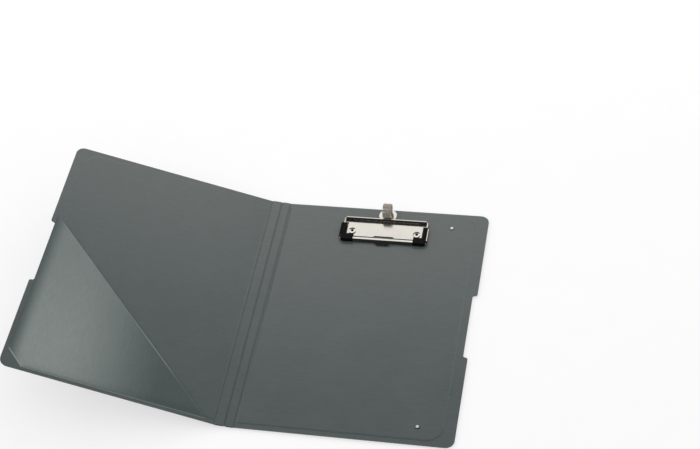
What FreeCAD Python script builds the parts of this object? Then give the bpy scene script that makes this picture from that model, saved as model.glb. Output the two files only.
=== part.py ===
import FreeCAD, Part
import math
import os
import Sketcher

# An A4 clipboard folder: two stiff covers and a two-strip spine in welded foil, a wire clip with
# rubber corners, a spring pen loop, an elastic closure and a corner pocket.
# X runs from the front cover to the back cover, Y from the bottom edge to the top edge, Z is up.

os.makedirs("parts", exist_ok=True)
doc = FreeCAD.newDocument("clipboard_folder")
sheet = doc.addObject("Spreadsheet::Sheet", "Dims")

SIZES = {
    # covers and spine
    "board_height": 318.0,
    "back_width": 230.0,
    "front_width": 234.0,
    "strip_back_width": 10.0,
    "strip_front_width": 11.5,
    "foil_sheet": 0.4,
    "core_sheet": 1.2,
    "corner_radius": 9.5,
    "fore_rim": 12.5,
    "end_rim": 5.6,
    "crease_rim": 1.1,
    "crease_room": 0.5,
    "bead_radius": 0.44,
    "web_sheet": 0.3,
    "field_radius": 18.0,
    "field_bevel": 0.5,
    "field_slope": 1.6,
    "core_margin": 1.2,
    "core_wall": 0.5,
    "core_clearance": 0.1,
    "notch_length": 80.0,
    "notch_depth": 5.0,
    "back_angle": 6.5,
    "middle_angle": 0.5,
    "front_angle": 11.0,
    # clip, measured forward from the barrel's axis
    "clip_offset": 0.4,
    "clip_below_top": 19.0,
    "plate_sheet": 1.1,
    "barrel_radius": 2.4,
    "barrel_length": 91.4,
    "barrel_mouth": 20.0,
    "plate_reach": 24.7,
    "plate_step": 3.1,
    "plate_shoulder": 5.0,
    "cutout_length": 24.0,
    "cutout_slant": 1.6,
    "cutout_depth": 1.8,
    "rivet_inset": 5.8,
    "rivet_reach": 17.5,
    "rivet_head_radius": 4.0,
    "rivet_head_height": 0.9,
    "rivet_rim": 0.3,
    "rivet_dish_radius": 2.6,
    "rivet_dish_depth": 0.5,
    "rivet_shank_radius": 1.9,
    "rivet_bore_radius": 1.5,
    "rivet_foot_radius": 3.0,
    "rivet_foot_height": 0.45,
    "wire_radius": 1.22,
    "barrel_room": 0.1,
    "wire_bend": 1.3,
    "wire_reach": 29.3,
    "jaw_radius": 1.65,
    "jaw_clearance": 0.1,
    "frame_room": 0.2,
    "frame_reach": 31.5,
    "frame_start": 7.8,
    "frame_sheet": 0.8,
    "frame_height": 3.3,
    "frame_corner": 2.5,
    "frame_round": 1.8,
    "jaw_ground": 0.35,
    "lip_flat": 1.9,
    "lip_reach": 1.6,
    "lip_edge": 0.4,
    "tab_width": 18.0,
    "tab_reach": 36.2,
    "tab_sheet": 0.8,
    "tab_rise": 0.3,
    "tab_angle": 24.0,
    "cap_beyond": 1.45,
    "cap_width": 4.6,
    "cap_start": 8.3,
    "cap_reach": 33.0,
    "cap_arm": 14.5,
    "cap_depth": 8.8,
    "cap_top": 5.0,
    "cap_skirt": 7.8,
    "cap_corner": 3.5,
    "ear_start": 28.0,
    "ear_end": 29.4,
    "ear_reach": 1.7,
    "cap_bevel": 0.5,
    "lever_clearance": 0.3,
    # pen loop
    "loop_below_top": 9.6,
    "loop_base_radius": 10.2,
    "loop_base_sheet": 0.8,
    "loop_base_bevel": 0.3,
    "loop_edge_room": 0.4,
    "loop_radius": 8.4,
    "band_width": 10.0,
    "coil_wire_radius": 0.45,
    "coil_rise": 1.8,
    "saddle_length": 8.4,
    "saddle_width": 5.4,
    "saddle_sheet": 0.6,
    "loop_head_radius": 2.0,
    "loop_head_height": 0.6,
    "loop_shank_radius": 1.2,
    "loop_foot_radius": 2.4,
    # elastic
    "elastic_inset": 40.0,
    "elastic_end": 22.0,
    "elastic_width": 4.0,
    "elastic_sheet": 1.0,
    "elastic_bevel": 0.4,
    "elastic_neck_radius": 1.2,
    "eyelet_bore_radius": 1.4,
    "eyelet_wall": 0.35,
    "eyelet_rim_radius": 2.8,
    "eyelet_rim_height": 0.6,
    "eyelet_foot_height": 0.35,
    "stop_radius": 1.9,
    "stop_height": 0.9,
    # corner pocket
    "pocket_inset": 3.8,
    "pocket_rise": 208.0,
    "pocket_end_room": 10.0,
    "pocket_cut_width": 20.0,
    "pocket_cut_height": 18.5,
    "pocket_sheet": 0.5,
    "pocket_wall": 0.6,
    "pocket_gap": 1.0,
    "pocket_round": 0.45,
    # fits
    "fit_clearance": 0.05,
    "hole_clearance": 0.1,
    "cut_overrun": 1.0,
}
# Two places closer than this are one.
SAME_SPOT = 1e-6
COIL_TURNS = 18
COIL_STEP = 17.6

for row, (name, value) in enumerate(SIZES.items(), start=1):
    sheet.set("A%d" % row, name)
    sheet.set("B%d" % row, str(value))
    sheet.setAlias("B%d" % row, name)
doc.recompute()


class Size:
    """A size and the sheet expression that gives it."""

    def __init__(self, value, text):
        self.value = value
        self.text = text

    def __add__(self, other):
        return Size(self.value + other.value, "(%s + %s)" % (self.text, other.text))

    def __sub__(self, other):
        return Size(self.value - other.value, "(%s - %s)" % (self.text, other.text))

    def __neg__(self):
        return Size(-self.value, "(0 - %s)" % self.text)

    def __mul__(self, count):
        return Size(self.value * count, "(%s * %r)" % (self.text, count))

    def __truediv__(self, count):
        return Size(self.value / count, "(%s / %r)" % (self.text, count))

    def along(self, angle):
        turned = math.cos(math.radians(angle.value))
        return Size(self.value * turned, "(%s * cos(%s * 1 deg))" % (self.text, angle.text))

    def across(self, angle):
        turned = math.sin(math.radians(angle.value))
        return Size(self.value * turned, "(%s * sin(%s * 1 deg))" % (self.text, angle.text))

    def over(self, angle):
        """The slanted length that covers this size."""
        turned = math.cos(math.radians(angle.value))
        return Size(self.value / turned, "(%s / cos(%s * 1 deg))" % (self.text, angle.text))

    def rise(self, angle):
        """How far a slant rises over this size."""
        turned = math.tan(math.radians(angle.value))
        return Size(self.value * turned, "(%s * tan(%s * 1 deg))" % (self.text, angle.text))


def dim(name):
    return Size(float(sheet.get(name)), "Dims.%s" % name)


ZERO = Size(0.0, "0")
BODIES = {}


def new_body(label):
    body = doc.addObject("PartDesign::Body", label)
    body.Label = label
    body.AllowCompound = True
    return body


def new_sketch(body, name, plane="XY_Plane", level=ZERO, tilt=ZERO):
    sketch = body.newObject("Sketcher::SketchObject", body.Name + "_" + name)
    base = [item for item in body.Origin.OriginFeatures if item.Role == plane][0]
    sketch.AttachmentSupport = [(base, "")]
    sketch.MapMode = "FlatFace"
    if tilt is not ZERO:
        lean = FreeCAD.Rotation(FreeCAD.Vector(1, 0, 0), tilt.value)
        sketch.AttachmentOffset = FreeCAD.Placement(FreeCAD.Vector(0, 0, level.value), lean)
        sketch.setExpression("AttachmentOffset.Rotation.Angle", "%s * 1 deg" % tilt.text)
    if level is not ZERO:
        sketch.setExpression("AttachmentOffset.Base.z", level.text)
    return sketch


def fix_point(sketch, shape, end, x, y):
    """Ties one point of the sketch to its place from the origin."""
    for kind, size in (("DistanceX", x), ("DistanceY", y)):
        if size is ZERO:
            on_axis = -2 if kind == "DistanceX" else -1
            sketch.addConstraint(Sketch("PointOnObject", shape, end, on_axis))
        else:
            index = sketch.addConstraint(Sketch(kind, -1, 1, shape, end, size.value))
            sketch.setExpression("Constraints[%d]" % index, size.text)


def draw(sketch, points):
    """Draws a closed outline. Each point is (x, y), or (x, y, centre x, centre y, radius, turn) where
    an arc leads to it from the point before; a turn of 1 runs anticlockwise, -1 clockwise."""
    first = sketch.GeometryCount
    before = points[-1]
    for point in points:
        start = FreeCAD.Vector(before[0].value, before[1].value, 0)
        end = FreeCAD.Vector(point[0].value, point[1].value, 0)
        if len(point) == 2:
            sketch.addGeometry(Part.LineSegment(start, end), False)
        else:
            centre = FreeCAD.Vector(point[2].value, point[3].value, 0)
            if point[5] > 0:
                low, high = start, end
            else:
                low, high = end, start
            circle = Part.Circle(centre, FreeCAD.Vector(0, 0, 1), point[4].value)
            low_angle = math.atan2(low.y - centre.y, low.x - centre.x)
            high_angle = math.atan2(high.y - centre.y, high.x - centre.x)
            if high_angle <= low_angle:
                high_angle += 2 * math.pi
            sketch.addGeometry(Part.ArcOfCircle(circle, low_angle, high_angle), False)
        before = point
    count = len(points)
    for index, point in enumerate(points):
        arc = len(point) > 2
        here = first + index
        after = first + (index + 1) % count
        next_point = points[(index + 1) % count]
        here_end = 1 if arc and point[5] < 0 else 2
        after_start = 2 if len(next_point) > 2 and next_point[5] < 0 else 1
        sketch.addConstraint(Sketch("Coincident", here, here_end, after, after_start))
        fix_point(sketch, here, here_end, point[0], point[1])
        if arc:
            place = sketch.addConstraint(Sketch("Radius", here, point[4].value))
            sketch.setExpression("Constraints[%d]" % place, point[4].text)


def ring(sketch, x, y, radius):
    shape = sketch.addGeometry(
        Part.Circle(FreeCAD.Vector(x.value, y.value, 0), FreeCAD.Vector(0, 0, 1), radius.value), False)
    fix_point(sketch, shape, 3, x, y)
    place = sketch.addConstraint(Sketch("Radius", shape, radius.value))
    sketch.setExpression("Constraints[%d]" % place, radius.text)


def Sketch(*values):
    return Sketcher.Constraint(*values)


def feature(body, kind, sketch, length, flip=False, both=False):
    made = body.newObject("PartDesign::" + kind, sketch.Name + "_" + kind.lower())
    made.Profile = sketch
    made.setExpression("Length", length.text)
    made.Reversed = flip
    made.Midplane = both
    sketch.Visibility = False
    doc.recompute()
    return made


def pad(body, sketch, length, flip=False, both=False):
    return feature(body, "Pad", sketch, length, flip, both)


def pocket(body, sketch, length, flip=False, both=False):
    before = body.Shape.Volume
    made = feature(body, "Pocket", sketch, length, flip, both)
    if not made.Shape.Volume < before:
        raise RuntimeError("%s cuts nothing" % made.Name)
    return made


def revolve(body, sketch):
    made = body.newObject("PartDesign::Revolution", sketch.Name + "_turned")
    made.Profile = sketch
    made.ReferenceAxis = (sketch, ["V_Axis"])
    made.Angle = 360.0
    doc.recompute()
    return made


def dress(body, kind, edges, size, across=None):
    """Rounds or bevels the named edges of the body's last feature, unevenly with a second size."""
    base = body.Tip
    made = body.newObject("PartDesign::" + kind, body.Name + "_" + kind.lower())
    made.Base = (base, edges)
    made.setExpression("Radius" if kind == "Fillet" else "Size", size.text)
    if across is not None:
        made.ChamferType = "Two distances"
        made.setExpression("Size2", across.text)
    doc.recompute()
    return made


def edges_where(shape, test):
    found = []
    for index, edge in enumerate(shape.Edges, start=1):
        box = edge.BoundBox
        if test(edge, box):
            found.append("Edge%d" % index)
    return found


def repeat(body, made, axis, length):
    """A second copy of the body's form, one length along an axis of the body."""
    base = [item for item in body.Origin.OriginFeatures if item.Role == axis][0]
    pattern = body.newObject("PartDesign::LinearPattern", body.Name + "_pair")
    pattern.Originals = [made]
    pattern.Direction = (base, [""])
    pattern.setExpression("Length", length.text)
    pattern.Occurrences = 2
    body.Tip = pattern
    doc.recompute()
    return pattern


def place(thing, frame, x=ZERO, y=ZERO, z=ZERO):
    """Puts a piece at x, y, z of one of the folder's four panel frames."""
    spot = frame["at"].multVec(FreeCAD.Vector(x.value, y.value, z.value))
    thing.Placement = FreeCAD.Placement(spot, frame["at"].Rotation)
    base_x = frame["x"] + x.along(frame["angle"]) + z.across(frame["angle"])
    base_z = frame["z"] + z.along(frame["angle"]) - x.across(frame["angle"])
    thing.setExpression("Placement.Base.x", base_x.text)
    thing.setExpression("Placement.Base.y", y.text)
    thing.setExpression("Placement.Base.z", base_z.text)
    BODIES[thing.Label] = thing
    return thing


# The frames of the four panels at rest: each starts on a crease, in the plane where the foils are welded.
half_height = dim("board_height") / 2
half_core = dim("core_sheet") / 2
field_rise = half_core + dim("foil_sheet")
angle_back = dim("back_angle")
angle_middle = angle_back + dim("middle_angle")
angle_front = angle_middle + dim("front_angle")
middle_x = -dim("strip_back_width").along(angle_back)
middle_z = dim("strip_back_width").across(angle_back)
front_x = middle_x - dim("strip_front_width").along(angle_middle)
front_z = middle_z + dim("strip_front_width").across(angle_middle)
fore_x = front_x - dim("front_width").along(angle_front) - dim("foil_sheet").across(angle_front)
start_x = -(dim("back_width") + fore_x) / 2
start_z = field_rise + dim("eyelet_foot_height") + dim("elastic_sheet")


def panel_frame(x, z, angle):
    turn = FreeCAD.Rotation(FreeCAD.Vector(0, 1, 0), angle.value)
    at = FreeCAD.Placement(FreeCAD.Vector(x.value, 0, z.value), turn)
    return {"x": x, "z": z, "angle": angle, "at": at}


BACK = panel_frame(start_x, start_z, ZERO)
STRIP_BACK = panel_frame(start_x, start_z, angle_back)
STRIP_FRONT = panel_frame(start_x + middle_x, start_z + middle_z, angle_middle)
FRONT = panel_frame(start_x + front_x, start_z + front_z, angle_front)

# Places on the back cover.
clip_x = dim("back_width") / 2 + dim("clip_offset")
clip_y = half_height - dim("clip_below_top")
rivet_y = clip_y - dim("rivet_reach")
plate_half = dim("barrel_length") / 2 - dim("plate_step")
rivet_half = plate_half - dim("rivet_inset")
wire_half = dim("barrel_length") / 2 + dim("barrel_room") + dim("wire_bend")
cap_half = wire_half + dim("cap_beyond")
frame_half = cap_half + dim("frame_room") + dim("frame_sheet")
loop_y = half_height - dim("loop_below_top")
eyelet_x = dim("back_width") - dim("elastic_inset")
eyelet_y = half_height - dim("elastic_end")
rivet_hole = dim("rivet_shank_radius") + dim("hole_clearance")
loop_hole = dim("loop_shank_radius") + dim("hole_clearance")
eyelet_radius = dim("eyelet_bore_radius") + dim("eyelet_wall")
eyelet_hole = eyelet_radius + dim("hole_clearance")


def cover_outline(width, side):
    """A cover's outline from its crease: square at the crease, two round corners and a finger notch on
    the fore edge. The side is 1 for the back cover and -1 for the front cover."""
    radius = dim("corner_radius")
    step = dim("notch_depth") / 2
    low = -dim("notch_length") / 2
    high = dim("notch_length") / 2
    room = dim("crease_room")

    def across(size):
        return size if side > 0 else -size

    return [
        (across(room), -half_height),
        (across(width - radius), -half_height),
        (across(width), -half_height + radius, across(width - radius), -half_height + radius, radius, side),
        (across(width), low - step - step),
        (across(width - step), low - step, across(width - step), low - step - step, step, side),
        (across(width - step - step), low, across(width - step), low, step, -side),
        (across(width - step - step), high),
        (across(width - step), high + step, across(width - step), high, step, -side),
        (across(width), high + step + step, across(width - step), high + step + step, step, side),
        (across(width), half_height - radius),
        (across(width - radius), half_height, across(width - radius), half_height - radius, radius, side),
        (across(room), half_height),
    ]


def field_outline(width, side, inset):
    """The raised field over a cover's core, or the core itself where the inset is its wall."""
    radius = dim("field_radius") - inset
    near = dim("crease_rim") + inset
    far = width - dim("fore_rim") - inset
    top = half_height - dim("end_rim") - inset

    def across(size):
        return size if side > 0 else -size

    return [
        (across(near), -top),
        (across(far - radius), -top),
        (across(far), -top + radius, across(far - radius), -top + radius, radius, side),
        (across(far), top - radius),
        (across(far - radius), top, across(far - radius), top - radius, radius, side),
        (across(near), top),
    ]


def field_edges(shape, level):
    return edges_where(shape, lambda edge, box: box.ZLength < SAME_SPOT and abs(box.ZMin - level) < SAME_SPOT)


def cover_foil(label, width, side, inner, holes):
    """One foil of a cover: a flat welded rim, and a field raised round half of the core."""
    body = new_body(label)
    rim = new_sketch(body, "rim")
    draw(rim, cover_outline(width, side))
    pad(body, rim, dim("foil_sheet"), not inner)
    field = new_sketch(body, "field")
    draw(field, field_outline(width, side, ZERO))
    pad(body, field, field_rise, not inner)
    level = field_rise.value if inner else -field_rise.value
    dress(body, "Chamfer", field_edges(body.Shape, level), dim("field_bevel"), dim("field_slope"))
    bed = new_sketch(body, "bed")
    draw(bed, field_outline(width, side, dim("core_margin")))
    pocket(body, bed, half_core, inner)
    if holes:
        cuts = new_sketch(body, "holes")
        for x, y, radius in holes:
            ring(cuts, x, y, radius)
        pocket(body, cuts, field_rise, inner)
    return body


def cover_core(label, width, side, holes, seats):
    """A cover's board, with holes for what is fastened to it and seats for the closed rivet feet."""
    body = new_body(label)
    board = new_sketch(body, "board", level=-half_core)
    draw(board, field_outline(width, side, dim("core_margin") + dim("core_clearance")))
    pad(body, board, dim("core_sheet"))
    if holes:
        cuts = new_sketch(body, "holes", level=-half_core)
        for x, y, radius in holes:
            ring(cuts, x, y, radius)
        pocket(body, cuts, dim("core_sheet"), True)
        beds = new_sketch(body, "seats", level=-half_core)
        for x, y, radius in seats:
            ring(beds, x, y, radius)
        pocket(body, beds, dim("rivet_foot_height") + dim("hole_clearance"), True)
    return body


clip_holes = [
    (clip_x - rivet_half, rivet_y, rivet_hole),
    (clip_x + rivet_half, rivet_y, rivet_hole),
    (clip_x, loop_y, loop_hole),
]
eyelet_holes = [(eyelet_x, -eyelet_y, eyelet_hole), (eyelet_x, eyelet_y, eyelet_hole)]
seat_radius = dim("rivet_foot_radius") + dim("hole_clearance")
loop_seat = dim("loop_foot_radius") + dim("hole_clearance")
foot_seats = [(x, y, seat_radius) for x, y, radius in clip_holes[:2]] + [(clip_x, loop_y, loop_seat)]

back_width = dim("back_width")
front_width = dim("front_width")
place(cover_foil("back_outer_foil", back_width, 1, False, eyelet_holes), BACK)
place(cover_core("back_core_board", back_width, 1, clip_holes + eyelet_holes, foot_seats), BACK)
place(cover_foil("back_inner_foil", back_width, 1, True, clip_holes + eyelet_holes), BACK)
place(cover_foil("front_outer_foil", front_width, -1, False, []), FRONT)
place(cover_core("front_core_board", front_width, -1, [], []), FRONT)
place(cover_foil("front_inner_foil", front_width, -1, True, []), FRONT)


def strip_foil(label, width, inner, beads):
    """One foil of a spine strip, drawn as its section and run along the spine. The outer foil carries
    the round fold beads that its neighbours turn about."""
    body = new_body(label)
    near = dim("crease_room")
    rise = dim("crease_rim")
    wall = dim("core_wall")
    sheet_height = dim("foil_sheet")

    def up(size):
        return size if inner else -size

    section = new_sketch(body, "section", "XZ_Plane")
    draw(section, [
        (-near, ZERO),
        (-near, up(sheet_height)),
        (-rise, up(sheet_height)),
        (-rise, up(field_rise)),
        (rise - width, up(field_rise)),
        (rise - width, up(sheet_height)),
        (near - width, up(sheet_height)),
        (near - width, ZERO),
        (rise + wall - width, ZERO),
        (rise + wall - width, up(half_core)),
        (-rise - wall, up(half_core)),
        (-rise - wall, ZERO),
    ])
    pad(body, section, dim("board_height"), both=True)
    for index, spot in enumerate(beads):
        web = new_sketch(body, "web%d" % index, "XZ_Plane")
        inward = -rise if spot is ZERO else rise - width
        half_web = dim("web_sheet") / 2
        draw(web, [(spot, -half_web), (spot, ZERO), (inward, ZERO), (inward, -half_web)])
        pad(body, web, dim("board_height"), both=True)
        bead = new_sketch(body, "bead%d" % index, "XZ_Plane")
        ring(bead, spot, ZERO, dim("bead_radius"))
        pad(body, bead, dim("board_height"), both=True)
    return body


def strip_core(label, width):
    body = new_body(label)
    section = new_sketch(body, "section", "XZ_Plane")
    near = dim("crease_rim") + dim("core_wall") + dim("core_clearance")
    far = near - width
    draw(section, [(-near, -half_core), (-near, half_core), (far, half_core), (far, -half_core)])
    pad(body, section, dim("board_height") - dim("end_rim") - dim("end_rim"), both=True)
    return body


strip_back = dim("strip_back_width")
strip_front = dim("strip_front_width")
place(strip_foil("spine_back_outer_foil", strip_back, False, [ZERO]), STRIP_BACK)
place(strip_core("spine_back_core_strip", strip_back), STRIP_BACK)
place(strip_foil("spine_back_inner_foil", strip_back, True, []), STRIP_BACK)
place(strip_foil("spine_front_outer_foil", strip_front, False, [ZERO, -strip_front]), STRIP_FRONT)
place(strip_core("spine_front_core_strip", strip_front), STRIP_FRONT)
place(strip_foil("spine_front_inner_foil", strip_front, True, []), STRIP_FRONT)

# The clip's plate: one sheet with its rear edge rolled into a barrel, and a narrower front part.
plate = new_body("clip_base_plate")
barrel = dim("barrel_radius")
plate_sheet = dim("plate_sheet")
bore = barrel - plate_sheet
mouth = dim("barrel_mouth")
roll = new_sketch(plate, "roll", "YZ_Plane")
draw(roll, [
    (-dim("plate_reach"), ZERO),
    (ZERO, ZERO),
    (-barrel.along(mouth), barrel - barrel.across(mouth), ZERO, barrel, barrel, 1),
    (-bore.along(mouth), barrel - bore.across(mouth)),
    (ZERO, plate_sheet, ZERO, barrel, bore, -1),
    (-dim("plate_reach"), plate_sheet),
])
pad(plate, roll, dim("barrel_length"), both=True)
flanks = new_sketch(plate, "flanks")
flank_far = dim("barrel_length") / 2 + dim("cut_overrun")
flank_back = -dim("plate_shoulder")
flank_front = -dim("plate_reach") - dim("cut_overrun")
for inside, outside in ((plate_half, flank_far), (-plate_half, -flank_far)):
    flank_corners = [(inside, flank_front), (outside, flank_front)]
    flank_corners += [(outside, flank_back), (inside, flank_back)]
    draw(flanks, flank_corners)
pocket(plate, flanks, plate_sheet, True)
gap = new_sketch(plate, "cutout")
cut_half = dim("cutout_length") / 2
cut_back = -dim("plate_reach") + dim("cutout_depth")
cut_front = -dim("plate_reach") - dim("cut_overrun")
draw(gap, [
    (-cut_half, cut_front),
    (cut_half, cut_front),
    (cut_half, -dim("plate_reach")),
    (cut_half - dim("cutout_slant"), cut_back),
    (-cut_half + dim("cutout_slant"), cut_back),
    (-cut_half, -dim("plate_reach")),
])
pocket(plate, gap, plate_sheet, True)
plate_holes = new_sketch(plate, "holes")
ring(plate_holes, -rivet_half, -dim("rivet_reach"), rivet_hole)
ring(plate_holes, rivet_half, -dim("rivet_reach"), rivet_hole)
pocket(plate, plate_holes, plate_sheet, True)
place(plate, BACK, clip_x, clip_y, field_rise)

# Two hollow rivets with dished heads hold the plate; their feet are closed in the core, under the outer foil.
rivets = new_body("clip_rivets")
section = new_sketch(rivets, "section", "XZ_Plane")
rivet_bore = dim("rivet_bore_radius")
rivet_top = plate_sheet + dim("rivet_head_height")
rivet_shank = dim("rivet_shank_radius")
core_seat = dim("rivet_foot_height") + dim("hole_clearance")
foot_top = core_seat - dim("core_sheet") - dim("foil_sheet")
foot_low = foot_top - dim("rivet_foot_height")
draw(section, [
    (rivet_bore, foot_low),
    (dim("rivet_foot_radius"), foot_low),
    (dim("rivet_foot_radius"), foot_top),
    (rivet_shank, foot_top),
    (rivet_shank, plate_sheet),
    (dim("rivet_head_radius"), plate_sheet),
    (dim("rivet_head_radius") - dim("rivet_rim"), rivet_top),
    (dim("rivet_dish_radius"), rivet_top - dim("rivet_dish_depth")),
    (rivet_bore, rivet_top - dim("rivet_dish_depth")),
])
turned = revolve(rivets, section)
repeat(rivets, turned, "X_Axis", rivet_half + rivet_half)
place(rivets, BACK, clip_x - rivet_half, rivet_y, field_rise)


def rod(name, radius, length, x, y, turn):
    """A straight run of wire that starts at x, y."""
    made = doc.addObject("Part::Cylinder", name)
    made.setExpression("Radius", radius.text)
    made.setExpression("Height", length.text)
    made.Placement = FreeCAD.Placement(FreeCAD.Vector(x.value, y.value, 0), turn)
    made.setExpression("Placement.Base.x", x.text)
    made.setExpression("Placement.Base.y", y.text)
    return made


def bend(name, radius, around, x, y, start):
    """A quarter bend of wire about x, y."""
    made = doc.addObject("Part::Torus", name)
    made.setExpression("Radius1", around.text)
    made.setExpression("Radius2", radius.text)
    made.Angle3 = 90.0
    turn = FreeCAD.Rotation(FreeCAD.Vector(0, 0, 1), start)
    made.Placement = FreeCAD.Placement(FreeCAD.Vector(x.value, y.value, 0), turn)
    made.setExpression("Placement.Base.x", x.text)
    made.setExpression("Placement.Base.y", y.text)
    return made


def wire_bail(label, radius, extra):
    """The clip's wire: its rear run turns in the barrel, and its two arms end in the corner caps."""
    rear = dim("wire_bend")
    arm = dim("wire_reach") - rear + extra
    along_x = FreeCAD.Rotation(FreeCAD.Vector(0, 1, 0), 90)
    forward = FreeCAD.Rotation(FreeCAD.Vector(1, 0, 0), 90)
    pieces = [
        rod(label + "_rear", radius, wire_half + wire_half - rear - rear, rear - wire_half, ZERO, along_x),
        rod(label + "_left", radius, arm, -wire_half, -rear, forward),
        rod(label + "_right", radius, arm, wire_half, -rear, forward),
        bend(label + "_bend1", radius, rear, wire_half - rear, -rear, 0),
        bend(label + "_bend2", radius, rear, rear - wire_half, -rear, 90),
    ]
    whole = doc.addObject("Part::MultiFuse", label)
    whole.Shapes = pieces
    whole.Label = label
    doc.recompute()
    return whole


axis_z = field_rise + barrel
place(wire_bail("clip_wire_bail", dim("wire_radius"), ZERO), BACK, clip_x, clip_y, axis_z)

# The jaw: a sheet frame round three sides of the clip, a hollow roll behind its front, and a lift tab.
jaw_length = (cap_half - dim("cap_arm") - dim("jaw_clearance")) * 2
jaw_low = dim("jaw_ground") - barrel
jaw_front = -dim("frame_reach")


def jaw_frame(body, grow):
    """The frame's three upright sides, drawn larger all round where room is cut for them."""
    outer = frame_half + grow
    inner = frame_half - dim("frame_sheet") - grow
    front = jaw_front - grow
    behind = jaw_front + dim("frame_sheet") + grow
    rear = -dim("frame_start") + grow
    wide = dim("frame_corner") + grow
    tight = dim("frame_corner") - dim("frame_sheet") - grow
    band = new_sketch(body, "band", level=jaw_low - grow)
    draw(band, [
        (-outer, rear),
        (-outer, front + wide),
        (-outer + wide, front, -outer + wide, front + wide, wide, 1),
        (outer - wide, front),
        (outer, front + wide, outer - wide, front + wide, wide, 1),
        (outer, rear),
        (inner, rear),
        (inner, behind + tight),
        (inner - tight, behind, inner - tight, behind + tight, tight, -1),
        (-inner + tight, behind),
        (-inner, behind + tight, -inner + tight, behind + tight, tight, -1),
        (-inner, rear),
    ])
    pad(body, band, dim("frame_height") + grow + grow)
    return body


jaw = jaw_frame(new_body("clip_jaw"), ZERO)
frame_top = (jaw_low + dim("frame_height")).value
frame_rear = -dim("frame_start").value


def frame_end(edge, box):
    level = box.ZLength < SAME_SPOT and abs(box.ZMin - frame_top) < SAME_SPOT
    return level and box.YLength < SAME_SPOT and abs(box.YMin - frame_rear) < SAME_SPOT


dress(jaw, "Fillet", edges_where(jaw.Shape, frame_end), dim("frame_round"))
tube = new_sketch(jaw, "tube", "YZ_Plane")
ring(tube, -dim("wire_reach"), ZERO, dim("jaw_radius"))
pad(jaw, tube, jaw_length, both=True)
# The roll's sheet runs on flat over the frame's front, then flares down as a lip, between the caps.
lip = new_sketch(jaw, "lip", "YZ_Plane")
lip_back = jaw_front + dim("frame_sheet")
lip_bend = -dim("wire_reach") - dim("lip_flat")
lip_tip = jaw_front - dim("lip_reach")
draw(lip, [
    (lip_back, jaw_low),
    (lip_back, ZERO),
    (-dim("wire_reach"), ZERO),
    (-dim("wire_reach"), dim("jaw_radius")),
    (lip_bend, dim("jaw_radius")),
    (lip_tip, jaw_low + dim("lip_edge")),
    (lip_tip, jaw_low),
])
pad(jaw, lip, jaw_length, both=True)
# The tab slopes down from the frame's front to just over the board.
lean = dim("tab_angle")
tab_tip = -dim("tab_reach").over(lean)
tab_level = jaw_low + dim("tab_rise") + dim("tab_reach").rise(lean)
tab = new_sketch(jaw, "tab", level=tab_level, tilt=lean)
tab_half = dim("tab_width") / 2
tab_root = jaw_front.over(lean)
tab_corner = tab_root - tab_tip
tab_back = (jaw_front + dim("frame_sheet") / 2).over(lean)
draw(tab, [
    (-tab_half, tab_back),
    (-tab_half, tab_root),
    (tab_corner - tab_half, tab_tip, tab_corner - tab_half, tab_root, tab_corner, 1),
    (tab_half - tab_corner, tab_tip),
    (tab_half, tab_root, tab_half - tab_corner, tab_root, tab_corner, 1),
    (tab_half, tab_back),
])
pad(jaw, tab, dim("tab_sheet"))
roll_hollow = new_sketch(jaw, "roll_hollow", "YZ_Plane")
ring(roll_hollow, -dim("wire_reach"), ZERO, dim("jaw_radius") - dim("frame_sheet"))
pocket(jaw, roll_hollow, jaw_length + dim("cut_overrun"), both=True)
place(jaw, BACK, clip_x, clip_y, axis_z)

# Rubber corner caps, pushed over the wire and the frame, each with a skirt in front of the plate.
wire_room = wire_bail("wire_room", dim("wire_radius") + dim("fit_clearance"), dim("fit_clearance"))
frame_room = jaw_frame(new_body("frame_room"), dim("fit_clearance"))


def corner_cap(label, side):
    body = new_body(label + "_block")
    outer = cap_half
    inner = outer - dim("cap_width")
    arm = outer - dim("cap_arm")
    start = -dim("cap_start")
    reach = -dim("cap_reach")
    radius = dim("cap_corner")
    ear = outer + dim("ear_reach")
    ear_start = -dim("ear_start")
    ear_end = -dim("ear_end")
    low = plate_sheet + dim("lever_clearance") - barrel

    def across(size):
        return size if side > 0 else -size

    block = new_sketch(body, "block", level=low)
    draw(block, [
        (across(arm), reach),
        (across(outer - radius), reach),
        (across(outer), reach + radius, across(outer - radius), reach + radius, radius, side),
        (across(outer), ear_end),
        (across(ear), ear_end),
        (across(ear), ear_start),
        (across(outer), ear_start),
        (across(outer), start),
        (across(inner), start),
        (across(inner), reach + dim("cap_depth")),
        (across(arm), reach + dim("cap_depth")),
    ])
    pad(body, block, dim("cap_top") - barrel - low)
    top = (dim("cap_top") - barrel).value
    dress(body, "Chamfer", field_edges(body.Shape, top), dim("cap_bevel"))
    skirt = new_sketch(body, "skirt", level=jaw_low)
    back = reach + dim("cap_skirt")
    draw(skirt, [
        (across(arm), reach),
        (across(outer - radius), reach),
        (across(outer), reach + radius, across(outer - radius), reach + radius, radius, side),
        (across(outer), back),
        (across(arm), back),
    ])
    pad(body, skirt, low - jaw_low)
    bored = doc.addObject("Part::Cut", label + "_bored")
    bored.Base = body
    bored.Tool = wire_room
    cap = doc.addObject("Part::Cut", label)
    cap.Base = bored
    cap.Tool = frame_room
    cap.Label = label
    doc.recompute()
    return cap


place(corner_cap("clip_cap_left", -1), BACK, clip_x, clip_y, axis_z)
place(corner_cap("clip_cap_right", 1), BACK, clip_x, clip_y, axis_z)

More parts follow.
